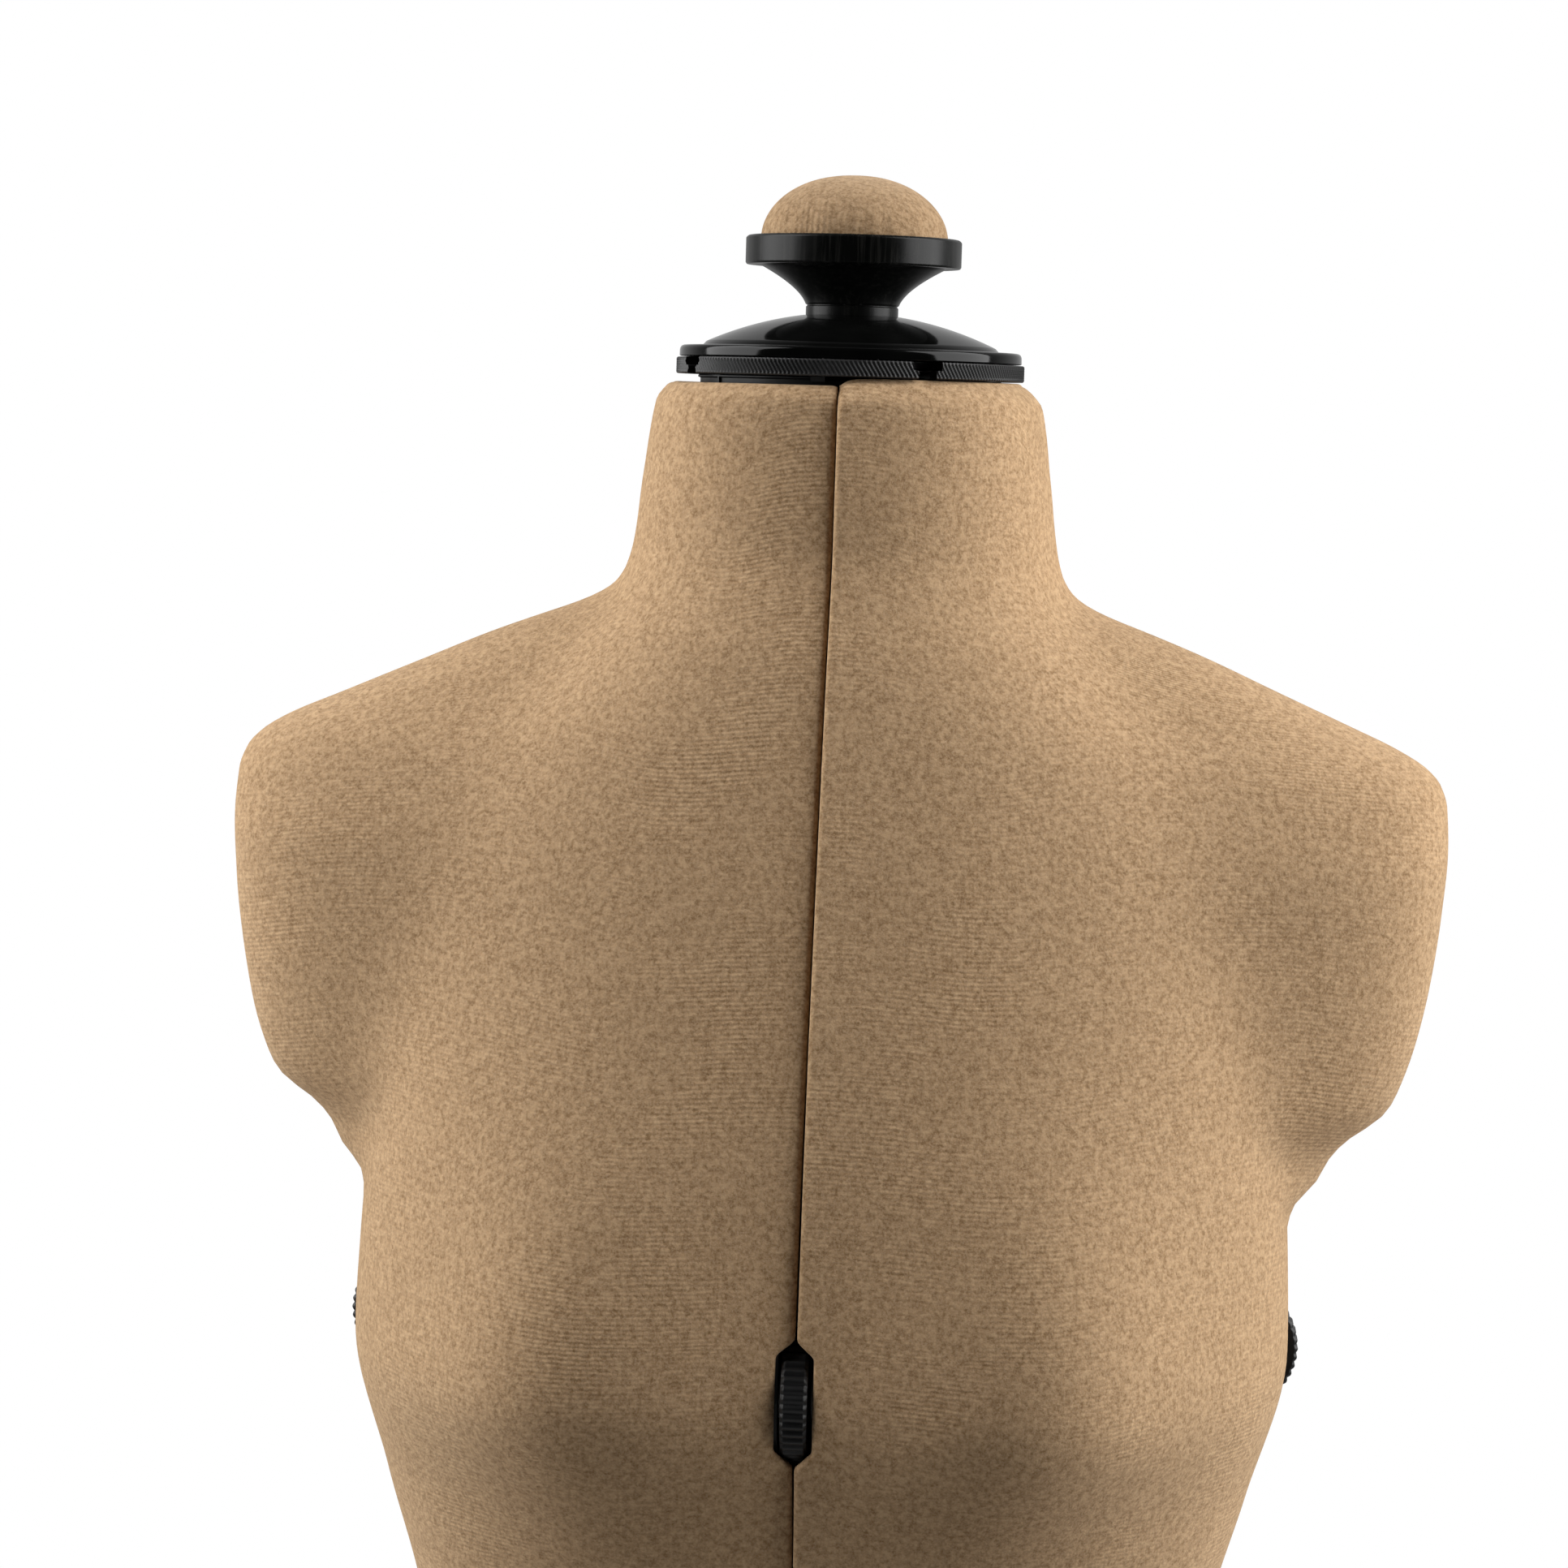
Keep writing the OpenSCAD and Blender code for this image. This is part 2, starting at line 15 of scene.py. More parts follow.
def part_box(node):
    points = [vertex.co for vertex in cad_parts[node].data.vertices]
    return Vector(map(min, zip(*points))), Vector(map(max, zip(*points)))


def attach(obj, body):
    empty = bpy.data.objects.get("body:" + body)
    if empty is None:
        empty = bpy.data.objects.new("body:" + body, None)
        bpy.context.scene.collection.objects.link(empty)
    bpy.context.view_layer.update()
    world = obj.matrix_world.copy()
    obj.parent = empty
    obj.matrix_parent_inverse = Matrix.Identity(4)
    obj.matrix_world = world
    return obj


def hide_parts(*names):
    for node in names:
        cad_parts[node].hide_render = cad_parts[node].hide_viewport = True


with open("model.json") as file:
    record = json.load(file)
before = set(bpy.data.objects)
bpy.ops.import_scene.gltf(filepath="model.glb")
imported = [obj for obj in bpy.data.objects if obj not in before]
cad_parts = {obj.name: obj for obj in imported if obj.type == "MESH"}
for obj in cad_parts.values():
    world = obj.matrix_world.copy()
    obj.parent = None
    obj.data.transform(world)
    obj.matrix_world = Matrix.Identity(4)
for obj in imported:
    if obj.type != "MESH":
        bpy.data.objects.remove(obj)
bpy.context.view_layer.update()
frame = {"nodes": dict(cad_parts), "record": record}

MM = 0.001
TURN = 2 * math.pi
WELD = 2e-6                     # vertices nearer than this are one
SHARP = 35                      # an edge that bends by more degrees than this stays sharp

# ---- Sizes that the frame gives ----

NECK_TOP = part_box("cover_front_left")[1].z
CAP_H = 14.1 * MM                               # from the cap's lower edge to the top of its CAD solid
CAP_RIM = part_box("neck_cap")[1].z - CAP_H
LEVELS = {"bust": 0.300, "waist": 0.430, "hip": 0.610}   # the dials' distance below the neck's top
SIDES = ["front", "left", "back", "right"]      # each a quarter turn on from the one before
QUARTERS = {"front_left": (1, -1), "front_right": (-1, -1), "back_left": (1, 1), "back_right": (-1, 1)}

# ---- The torso's surface, as in the CAD source, in millimetres ----

# Distance below the neck's top, half width, front depth, back depth
BODY = np.array([
    [0, 53.5, 51.5, 51.5], [3, 57, 54.5, 54.5], [7, 59.8, 57, 57], [30, 63.2, 58.5, 59.5],
    [52, 66, 60, 62], [66, 71, 64, 66], [85, 88, 71, 75], [115, 118, 80, 86],
    [160, 137, 92, 95], [205, 143, 102, 97], [250, 145, 109, 95], [300, 147, 112, 90],
    [345, 136, 102, 84], [390, 124, 92, 79], [430, 119, 88, 78], [480, 129, 93, 87],
    [545, 152, 101, 105], [610, 167, 105, 117], [665, 168, 103, 115], [712, 164, 100, 111],
    [720, 161, 97, 108]], float)
# Distance below the neck's top, reach of the shoulder and arm, half depth
SHOULDER = np.array([
    [60, 50, 20], [66, 66, 27], [71, 80, 31], [76, 95, 35], [82, 111, 38], [92, 134, 42],
    [102, 157, 46], [110, 175, 49], [115, 183, 51], [120, 187.5, 53], [127, 189.8, 55],
    [140, 190.4, 58], [160, 189.2, 60], [180, 186.6, 60], [200, 182.6, 58], [214, 178, 55],
    [222, 174, 51], [227, 168, 47], [232, 160, 42], [238, 153, 38], [246, 146, 35],
    [256, 120, 25]], float)
TORSO_H = BODY[-1, 0]
BLEND = 12                      # how sharply the arm meets the body: higher is sharper
# Soft swellings: at and spread are degrees round from the side, the rest millimetres
BUST = {"at": 58, "spread": 20, "height": 19, "level": 300, "above": 75, "below": 42}
SEAT = {"at": 52, "spread": 24, "height": 7, "level": 610, "above": 60, "below": 60}


def smooth(table, s, column):
    """Column of the table at s, by a smooth cubic that never overshoots the rows."""
    x, y = table[:, 0], table[:, column]
    secant = np.diff(y) / np.diff(x)
    before, after = secant[:-1], secant[1:]
    total = np.where(before + after == 0, 1, before + after)
    inner = np.where(before * after <= 0, 0, 2 * before * after / total)
    slope = np.concatenate([secant[:1], inner, secant[-1:]])
    i = np.clip(np.searchsorted(x, s, side="right") - 1, 0, len(x) - 2)
    w = x[i + 1] - x[i]
    u = (s - x[i]) / w
    return ((1 + 2 * u) * (1 - u) ** 2 * y[i] + u * (1 - u) ** 2 * w * slope[i]
            + u * u * (3 - 2 * u) * y[i + 1] + u * u * (u - 1) * w * slope[i + 1])


def lobe(a, b, n, th):
    """The radius at angle th of a superellipse with half axes a and b and exponent n."""
    return ((np.abs(np.cos(th)) / a) ** n + (np.abs(np.sin(th)) / b) ** n) ** (-1 / n)


def bump(form, th, s):
    """How far a soft swelling of the form stands out at angle th and height s."""
    fade = np.where(s < form["level"], form["above"], form["below"])
    turned = (np.degrees(th) - form["at"]) / form["spread"]
    return form["height"] * np.exp(-turned ** 2 - ((s - form["level"]) / fade) ** 2)


def radius(th, s, front):
    """The cover's outer radius, th from 0 at the side to a right angle at the centre line."""
    s = np.clip(s, 0, TORSO_H)
    squareness = 2 + 0.35 * np.clip((s - 60) / 150, 0, 1)
    body = lobe(smooth(BODY, s, 1), smooth(BODY, s, 2 if front else 3), squareness, th)
    arm_s = np.clip(s, SHOULDER[0, 0], SHOULDER[-1, 0])
    arm_square = 2 + 0.7 * np.clip((s - 105) / 40, 0, 1)
    arm = lobe(smooth(SHOULDER, arm_s, 1), smooth(SHOULDER, arm_s, 2), arm_square, th)
    arm = np.where((s > SHOULDER[0, 0]) & (s < SHOULDER[-1, 0]), arm, 0)
    form = bump(BUST if front else SEAT, th, s)
    return ((body + form) ** BLEND + arm ** BLEND) ** (1 / BLEND)


# ---- Building meshes ----

def add_mesh(name, verts, faces, body, material, slot, replaces=(), uv=None, crease=SHARP,
             smooth_all=False):
    """Adds a piece that rides on a CAD body, with edges sharper than crease degrees kept sharp."""
    mesh = bpy.data.meshes.new(name)
    mesh.from_pydata([tuple(v) for v in np.asarray(verts, float)], [], faces)
    if uv is not None:
        layer = mesh.uv_layers.new(name="weave")
        index = np.empty(len(mesh.loops), np.int32)
        mesh.loops.foreach_get("vertex_index", index)
        layer.data.foreach_set("uv", np.asarray(uv, np.float32)[index].ravel())
    bm = bmesh.new()
    bm.from_mesh(mesh)
    bmesh.ops.remove_doubles(bm, verts=bm.verts, dist=WELD)
    bmesh.ops.recalc_face_normals(bm, faces=bm.faces)
    for face in bm.faces:
        face.smooth = True
    if not smooth_all:
        limit = math.radians(crease)
        for edge in bm.edges:
            if len(edge.link_faces) == 2 and edge.calc_face_angle() > limit:
                edge.smooth = False
    bm.to_mesh(mesh)
    bm.free()
    mesh.materials.append(material)
    piece = bpy.data.objects.new(name, mesh)
    bpy.context.scene.collection.objects.link(piece)
    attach(piece, body)
    if replaces:
        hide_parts(*replaces)
    return piece


def rounded(corners, steps=5):
    """A line through corners (x, y, radius), each inner corner eased by a curve of about that radius."""
    points = []
    for i, (x, y, r) in enumerate(corners):
        p = np.array([x, y], float)
        if r <= 0 or i in (0, len(corners) - 1):
            points.append(p)
            continue
        a = np.array(corners[i - 1][:2], float) - p
        b = np.array(corners[i + 1][:2], float) - p
        la, lb = np.linalg.norm(a), np.linalg.norm(b)
        half = math.acos(np.clip(a @ b / (la * lb), -1, 1)) / 2
        cut = min(r / math.tan(half), 0.49 * la, 0.49 * lb)
        for t in np.linspace(0, 1, steps + 1):
            points.append((1 - t) ** 2 * (p + a / la * cut) + 2 * t * (1 - t) * p
                          + t * t * (p + b / lb * cut))
    return np.array(points)


def turned(outline, segments=128, shape=None):
    """Verts and faces of an outline of (radius, height) turned about Z. shape changes the radii."""
    r, z = np.asarray(outline, float).T
    angle = np.linspace(0, TURN, segments, endpoint=False)
    r = np.repeat(r[:, None], segments, 1)
    z = np.repeat(z[:, None], segments, 1)
    if shape is not None:
        r = shape(r, z, angle[None, :])
    verts = np.stack([r * np.cos(angle), r * np.sin(angle), z], -1).reshape(-1, 3)
    return verts, grid_faces(len(outline), segments, closed=True)


def grid_faces(rows, columns, closed=False, start=0):
    """The four-sided faces of a grid of vertices, joined round to its first column when closed."""
    j, i = np.meshgrid(np.arange(rows - 1), np.arange(columns if closed else columns - 1), indexing="ij")
    k = (i + 1) % columns
    quads = np.stack([j * columns + i, j * columns + k, (j + 1) * columns + k, (j + 1) * columns + i], -1)
    return (quads.reshape(-1, 4) + start).tolist()


def joined(*parts):
    """One set of verts and faces from several."""
    verts, faces, start = [], [], 0
    for part_verts, part_faces in parts:
        verts.append(np.asarray(part_verts, float))
        faces += [[v + start for v in f] for f in part_faces]
        start += len(part_verts)
    return np.concatenate(verts), faces


def moved(part, matrix):
    """The verts and faces of a part, carried by a matrix."""
    verts, faces = part
    m = np.array(matrix)
    return verts @ m[:3, :3].T + m[:3, 3], faces


def along(direction, at=(0, 0, 0)):
    """The matrix that takes +Z to direction and the origin to at."""
    turn = Vector((0, 0, 1)).rotation_difference(Vector(direction)).to_matrix().to_4x4()
    return Matrix.Translation(at) @ turn


# ---- Materials ----

class Shader:
    """A node material, built up a node at a time around one Principled shader."""

    def __init__(self, name, color, roughness, **inputs):
        self.material = bpy.data.materials.new(name)
        self.material.use_nodes = True
        self.tree = self.material.node_tree
        self.bsdf = self.tree.nodes["Principled BSDF"]
        self.set(self.bsdf, {"Base Color": (*color, 1), "Roughness": roughness, **inputs})

    def set(self, node, values):
        for key, value in values.items():
            socket = node.inputs[key]
            if isinstance(value, bpy.types.NodeSocket):
                self.tree.links.new(value, socket)
            else:
                socket.default_value = value

    def add(self, kind, values=None, **attributes):
        node = self.tree.nodes.new("ShaderNode" + kind)
        for key, value in attributes.items():
            setattr(node, key, value)
        self.set(node, values or {})
        return node

    def math(self, operation, a, b=0.0):
        return self.add("Math", {0: a, 1: b}, operation=operation).outputs[0]

    def place(self):
        return self.add("TexCoord").outputs["Object"]

    def stretched(self, vector, scale):
        return self.add("Mapping", {"Vector": vector, "Scale": scale}).outputs[0]

    def noise(self, vector, scale, detail=2.0, roughness=0.5):
        values = {"Vector": vector, "Scale": scale, "Detail": detail, "Roughness": roughness}
        return self.add("TexNoise", values).outputs["Fac"]

    def ramp(self, factor, low, high, start=0.0, end=1.0):
        """low to high as factor goes from start to end."""
        return self.add("MapRange", {"Value": factor, "From Min": start, "From Max": end,
                                     "To Min": low, "To Max": high}).outputs[0]

    def mix(self, factor, a, b, blend="MIX"):
        node = self.add("Mix", data_type="RGBA", blend_type=blend)
        for socket, value in zip((node.inputs[0], node.inputs[6], node.inputs[7]), (factor, a, b)):
            if isinstance(value, bpy.types.NodeSocket):
                self.tree.links.new(value, socket)
            else:
                socket.default_value = value
        return node.outputs[2]

    def bump(self, height, distance, strength=1.0):
        values = {"Height": height, "Distance": distance, "Strength": strength}
        return self.add("Bump", values).outputs[0]

    def finish(self, **inputs):
        self.set(self.bsdf, {key.replace("_", " "): value for key, value in inputs.items()})
        return self.material


def knit_material(name, row_pitch, stitch_pitch, relief, depth=1.0):
    """Brushed, foam-backed knit. Its UV map holds metres along the knit's rows and across them.

    relief is the rows' share of the bump, and depth darkens or lightens the whole cloth. The grooves between
    the rows carry painted shade in the colour.
    """
    s = Shader(name, (0.40, 0.26, 0.15), 0.95, **{
        "Sheen Weight": 0.22, "Sheen Roughness": 0.5, "Sheen Tint": (1.0, 0.80, 0.58, 1),
        "Specular IOR Level": 0.08})
    place = s.place()
    uv = s.add("UVMap", uv_map="weave").outputs[0]
    split = s.add("SeparateXYZ", {0: uv})
    cloud = s.noise(place, 30, 3)
    wander = s.math("ADD", s.math("MULTIPLY", s.noise(place, 60, 2), 5.0),
                    s.math("MULTIPLY", s.noise(place, 330, 2), 3.2))
    row_at = s.math("ADD", s.math("MULTIPLY", split.outputs[1], TURN / row_pitch), wander)
    stitch_at = s.math("ADD", s.math("MULTIPLY", split.outputs[0], TURN / stitch_pitch),
                       s.math("MULTIPLY", wander, 1.4))
    row = s.ramp(s.math("COSINE", row_at), 0, 1, -1)
    stitch = s.ramp(s.math("COSINE", stitch_at), 0.72, 1, -1)
    weave = s.math("MULTIPLY", s.math("MULTIPLY", row, stitch), s.ramp(cloud, 0.15, 1.0, 0.4, 0.68))
    nap = s.noise(place, 1300, 4, 0.75)
    tufts = s.noise(place, 520, 3, 0.65)
    height = s.math("MULTIPLY", weave, relief)
    height = s.math("ADD", height, s.math("MULTIPLY", nap, 0.7))
    height = s.math("ADD", height, s.math("MULTIPLY", tufts, 0.9))
    tone = s.mix(s.ramp(tufts, 0, 1, 0.36, 0.64), (0.268, 0.158, 0.075, 1), (0.50, 0.328, 0.182, 1))
    tone = s.mix(s.ramp(nap, 0, 0.6, 0.42, 0.72), tone, (0.64, 0.462, 0.29, 1))
    # painted shade: the colour is darker in the grooves between the knit's rows and lighter on their crests,
    # and depth scales it all
    painted_groove_shade = s.ramp(weave, 0.965 * depth, 1.04 * depth)
    painted_groove_grey = s.add("CombineColor", {0: painted_groove_shade, 1: painted_groove_shade, 2: painted_groove_shade}).outputs[0]
    tone = s.mix(1.0, tone, painted_groove_grey, "MULTIPLY")
    return s.finish(Base_Color=tone, Normal=s.bump(height, 0.26 * MM, 0.9))


def moulded_material(name, color, roughness, grain=0.02, grain_scale=1400, wear=0.0, streaks=0.0,
                     **inputs):
    """Moulded plastic or paint: fine grain, uneven gloss, rubbed edges and, on turned parts, streaks."""
    s = Shader(name, color, roughness, **inputs)
    place = s.place()
    smudge = s.noise(place, 35, 4, 0.6)
    fine = s.noise(place, grain_scale, 3, 0.6)
    rough = s.ramp(smudge, roughness * 0.8, min(1.0, roughness * 1.3), 0.3, 0.7)
    faded = [min(1, c * 1.35 + 0.002) for c in color]
    tone = s.mix(s.ramp(smudge, 0, 1, 0.3, 0.7), (*color, 1), (*faded, 1))
    if streaks:
        lines = s.noise(s.stretched(place, (1, 1, 0.05)), 700, 2, 0.7)
        strength = s.ramp(lines, 0, streaks, 0.5, 0.8)
        tone = s.mix(strength, tone, (0.12, 0.115, 0.105, 1))
        rough = s.math("ADD", rough, s.math("MULTIPLY", strength, 0.3))
    if wear:
        edge = s.ramp(s.add("NewGeometry").outputs["Pointiness"], 0, 1, 0.53, 0.60)
        worn = s.math("MULTIPLY", s.math("MULTIPLY", edge, s.ramp(smudge, 0.2, 1, 0.4, 0.6)), wear)
        rubbed = [min(1, c * 3 + 0.06) for c in color]
        tone = s.mix(worn, tone, (*rubbed, 1))
    return s.finish(Base_Color=tone, Roughness=rough, Normal=s.bump(fine, grain * MM))


def metal_material(name, color, roughness):
    """Drawn metal: fine lines along the tube, and faint smudges."""
    s = Shader(name, color, roughness, Metallic=1.0)
    place = s.place()
    lines = s.noise(s.stretched(place, (1, 1, 0.02)), 1800, 3, 0.7)
    smudge = s.noise(place, 40, 3)
    rough = s.math("ADD", s.ramp(lines, roughness * 0.7, roughness * 1.4, 0.3, 0.7),
                   s.ramp(smudge, -0.04, 0.08, 0.3, 0.7))
    return s.finish(Roughness=rough, Normal=s.bump(lines, 0.01 * MM))


KNIT = knit_material("camel_knit", 1.42 * MM, 1.15 * MM, 0.5)
CUSHION_KNIT = knit_material("cushion_knit", 1.75 * MM, 1.3 * MM, 0.7, depth=0.80)
CAP_BLACK = moulded_material("gloss_black_cap", (0.0008, 0.0009, 0.0008), 0.10, grain=0.0004,
                             grain_scale=300, **{"Specular IOR Level": 0.16})
CUP_BLACK = moulded_material("satin_black_cup", (0.0015, 0.0017, 0.0015), 0.28, grain=0.004,
                             streaks=0.12, wear=0.4, **{"Specular IOR Level": 0.15})
DIAL_BLACK = moulded_material("matte_black_dial", (0.004, 0.004, 0.0042), 0.44, grain=0.012, wear=0.3,
                              **{"Specular IOR Level": 0.35})
SHELL_BLACK = moulded_material("shell_plastic", (0.035, 0.035, 0.036), 0.55, grain=0.03, grain_scale=700)
NATURAL = moulded_material("natural_plastic", (0.40, 0.40, 0.39), 0.45, grain=0.01)
WAXY = moulded_material("waxy_plastic", (0.72, 0.71, 0.67), 0.4, grain=0.006)
PAINT = moulded_material("black_powder_coat", (0.012, 0.012, 0.013), 0.36, grain=0.035, grain_scale=1100,
                         wear=0.25)
RUBBER = moulded_material("foot_rubber", (0.016, 0.016, 0.016), 0.75, grain=0.03, grain_scale=900)
STEEL = metal_material("drawn_steel", (0.60, 0.60, 0.59), 0.24)
BRASS = metal_material("turned_brass", (0.70, 0.50, 0.20), 0.28)


def wadding_material():
    """Loose white fibre filling."""
    s = Shader("wadding", (0.75, 0.73, 0.68), 0.95)
    fluff = s.noise(s.place(), 350, 5, 0.75)
    tone = s.mix(fluff, (0.60, 0.58, 0.53, 1), (0.86, 0.84, 0.79, 1))
    return s.finish(Base_Color=tone, Normal=s.bump(fluff, 1.0 * MM))


WADDING = wadding_material()

# ---- Torso covers ----

COVER_T = 3.5                  # thickness of the foam-backed knit, mm
HEM_R = COVER_T / 2            # its folded edges are round
CAD_GAP = 0.5                  # each CAD panel's distance from the centre planes, mm
SLOT_W = 5.4                   # how far an edge draws back beside a dial, mm
SLOT_H = 20.0                  # half the height of that opening, mm
SLOT_EASE = 6.0                # how gradually it draws back, mm
HEM_STEPS = HEM_R * (1 - np.cos(np.linspace(0, math.pi / 2, 6)))
HEM_COLUMNS = np.append(HEM_STEPS, [2.6, 4.2])   # distances in from a panel's edge, mm
INSIDE = 9.0                   # a distance that is well clear of every folded edge, mm
COLUMNS, CROWDING = 46, 1.25   # columns between the two edges, drawn towards the side by the power
PROUD = {"lift": 2.2, "fall": 2.5, "down": 25, "roll": 0.45, "roll_at": 2.6}   # a raised edge, mm
RISE_REACH = {True: 38, False: 16}   # how far a raised or sunk centre edge reaches, mm


def eased(x):
    """From 0 to 1 with level ends as x goes from 0 to 1."""
    x = np.clip(x, 0, 1)
    return x * x * (3 - 2 * x)


def slot_edge(s):
    """How far a panel's edge stands off the centre plane at s, with an opening at each dial."""
    edge = np.zeros_like(s)
    for level in LEVELS.values():
        edge = np.maximum(edge, SLOT_W * eased((SLOT_H - np.abs(s - level * 1000)) / SLOT_EASE))
    return edge


def spaced_heights(top, bottom):
    """Row heights: close at the hems, over the neck and at the ends of the openings."""
    neck_end, hem, close = 130, 3, 5
    rows = list(np.arange(top + hem, neck_end, 1.7)) + list(np.arange(neck_end, bottom - hem, 3.6))
    for level in LEVELS.values():
        for end in (-1, 1):
            middle = level * 1000 + end * (SLOT_H - SLOT_EASE / 2)
            rows = [s for s in rows if abs(s - middle) > close]
            rows += list(np.linspace(middle - close, middle + close, 12))
    return np.array(sorted(rows + list(top + HEM_STEPS) + list(bottom - HEM_STEPS)))


def hem_height(distance):
    """Half the fabric's thickness at a distance from its folded edge, as a share."""
    inward = 1 - np.clip(distance / HEM_R, 0, 1)
    return np.sqrt(np.clip(1 - inward ** 2, 0, 1))


def undulation(along_s, across, seed):
    """The slight unevenness of padded fabric, in mm."""
    phase = 1.7 * seed
    return (0.16 * np.sin(along_s / 31 + across / 47 + phase) * np.sin(across / 23 - along_s / 90 + 2 * phase)
            + 0.09 * np.sin(along_s / 13 - across / 17 + 3 * phase)
            + 0.05 * np.sin(along_s / 6.1 + across / 8.3 + 5 * phase))


def cover(name, seed, top, centre_rise, centre_gap=0.12, side_gap=0.15):
    """One quarter's fabric. top is its upper edge's distance below the neck's top, in mm.

    centre_rise lifts its edge at the centre line, in mm. A raised edge stands proud of its neighbour.
    """
    side_x, side_y = QUARTERS[name]
    front = side_y < 0
    raised = centre_rise > 0
    s = spaced_heights(top, TORSO_H)
    rows = s[:, None]
    side_edge = slot_edge(rows) + side_gap - CAD_GAP
    centre_edge = slot_edge(rows) + centre_gap - CAD_GAP
    hem = HEM_COLUMNS[None, :]
    start = np.arcsin((side_edge + hem) / radius(0.0, rows, front))
    end = math.pi / 2 - np.arcsin((centre_edge + hem[:, ::-1]) / radius(math.pi / 2, rows, front))
    share = np.linspace(0, 1, COLUMNS)[None, 1:-1] ** CROWDING
    middle = start[:, -1:] + (end[:, :1] - start[:, -1:]) * share
    th = np.concatenate([start, middle, end], 1)
    s_grid = np.repeat(rows, th.shape[1], 1)
    out = radius(th, s_grid, front)
    from_centre = out * np.cos(th)
    inward = np.clip(from_centre, 0, None)
    corner = PROUD["lift"] * np.exp(-inward / PROUD["fall"]) if raised else 0
    s_grid = s_grid + corner * np.clip(1 - (s_grid - top) / PROUD["down"], 0, 1)
    out = out + centre_rise * np.exp(-inward / RISE_REACH[raised])
    if raised:
        out = out + PROUD["roll"] * np.exp(-((from_centre - PROUD["roll_at"]) / PROUD["roll_at"]) ** 2)
    level_points = np.stack([out * np.cos(th), out * np.sin(th)], -1)
    across = np.cumsum(np.linalg.norm(np.diff(level_points, axis=1), axis=2), 1)
    across = np.concatenate([np.zeros((len(s), 1)), across], 1)
    across = across[:, -1:] - across
    out = out + undulation(s_grid, across, seed)
    x = out * np.cos(th) + CAD_GAP
    y = out * np.sin(th) + CAD_GAP
    surface = np.stack([x * side_x, y * side_y, -s_grid], -1)
    down = np.gradient(surface, axis=0)
    over = np.gradient(surface, axis=1)
    normal = np.cross(down, over)
    normal /= np.linalg.norm(normal, axis=2)[..., None]
    outward = np.sign((normal * [side_x, side_y, 0]).sum(2).mean())
    normal *= outward
    side_distance = np.concatenate([np.repeat(hem, len(s), 0), np.full((len(s), middle.shape[1]), INSIDE),
                                    np.repeat(hem[:, ::-1], len(s), 0)], 1)
    end_distance = np.minimum(s - s[0], s[-1] - s)[:, None]
    half = HEM_R * hem_height(side_distance) * hem_height(end_distance)
    core = surface - HEM_R * normal
    outer = core + half[..., None] * normal
    inner = core - half[..., None] * normal
    run = np.linalg.norm(np.diff(surface, axis=0), axis=2)
    arc = np.concatenate([np.zeros((1, run.shape[1])), np.cumsum(run, 0)])
    arc -= arc[np.searchsorted(s, LEVELS["waist"] * 1000)]
    climb = 0.5 * arc + 0.5 * (s_grid - LEVELS["waist"] * 1000)
    uv = np.stack([across, climb], -1).reshape(-1, 2) * MM
    verts = np.concatenate([outer.reshape(-1, 3), inner.reshape(-1, 3)]) * MM + [0, 0, NECK_TOP]
    n_rows, n_columns = th.shape
    faces = grid_faces(n_rows, n_columns) + grid_faces(n_rows, n_columns, start=n_rows * n_columns)
    piece = add_mesh(f"fabric_{name}", verts, faces, f"{name}_panel", KNIT, "cover_fabric",
                     [f"cover_{name}"], np.concatenate([uv, uv]), smooth_all=True)
    return piece


cover("front_left", 1, -0.7, 1.2)
cover("front_right", 2, 0.8, -0.9)
cover("back_left", 3, 0.2, 0.0)
cover("back_right", 4, 0.4, 0.0)

# ---- Neck: dial, cap, cup and pincushion ----

DIAL_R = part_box("neck_dial")[1].x
BOSS_H = 6.4 * MM               # the neck plate's boss above the neck's top
NECK_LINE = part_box("neck_plate")[1].z - BOSS_H
FIRST_MARK = -144.5             # azimuth of a mark on the neck plate's edge, degrees round from +X
FIRST_NOTCH = -60.5             # azimuth of a notch in the dial
DIAL_Z = (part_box("neck_dial")[0].z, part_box("neck_dial")[1].z)


def cut(piece, cutters):
    """Cuts closed solids out of a piece, and leaves its cut edges sharp."""
    verts, faces = joined(*cutters)
    mesh = bpy.data.meshes.new("cutter")
    mesh.from_pydata([tuple(v) for v in verts], [], faces)
    bm = bmesh.new()
    bm.from_mesh(mesh)
    bmesh.ops.recalc_face_normals(bm, faces=bm.faces)
    bm.to_mesh(mesh)
    bm.free()
    tool = bpy.data.objects.new("cutter", mesh)
    bpy.context.scene.collection.objects.link(tool)
    modifier = piece.modifiers.new("cut", "BOOLEAN")
    modifier.object = tool
    modifier.operation = "DIFFERENCE"
    modifier.solver = "EXACT"
    bpy.context.view_layer.update()
    done = bpy.data.meshes.new_from_object(piece.evaluated_get(bpy.context.evaluated_depsgraph_get()))
    piece.modifiers.clear()
    piece.data = done
    bm = bmesh.new()
    bm.from_mesh(done)
    for edge in bm.edges:
        edge.smooth = len(edge.link_faces) == 2 and edge.calc_face_angle() < math.radians(SHARP)
    bm.to_mesh(done)
    bm.free()
    bpy.data.objects.remove(tool)
    return piece


def block(x, y, z):
    """A box with the given ranges along X, Y and Z."""
    verts = [(a, b, c) for a in x for b in y for c in z]
    faces = [(0, 1, 3, 2), (4, 6, 7, 5), (0, 4, 5, 1), (2, 3, 7, 6), (0, 2, 6, 4), (1, 5, 7, 3)]
    return np.array(verts, float), faces


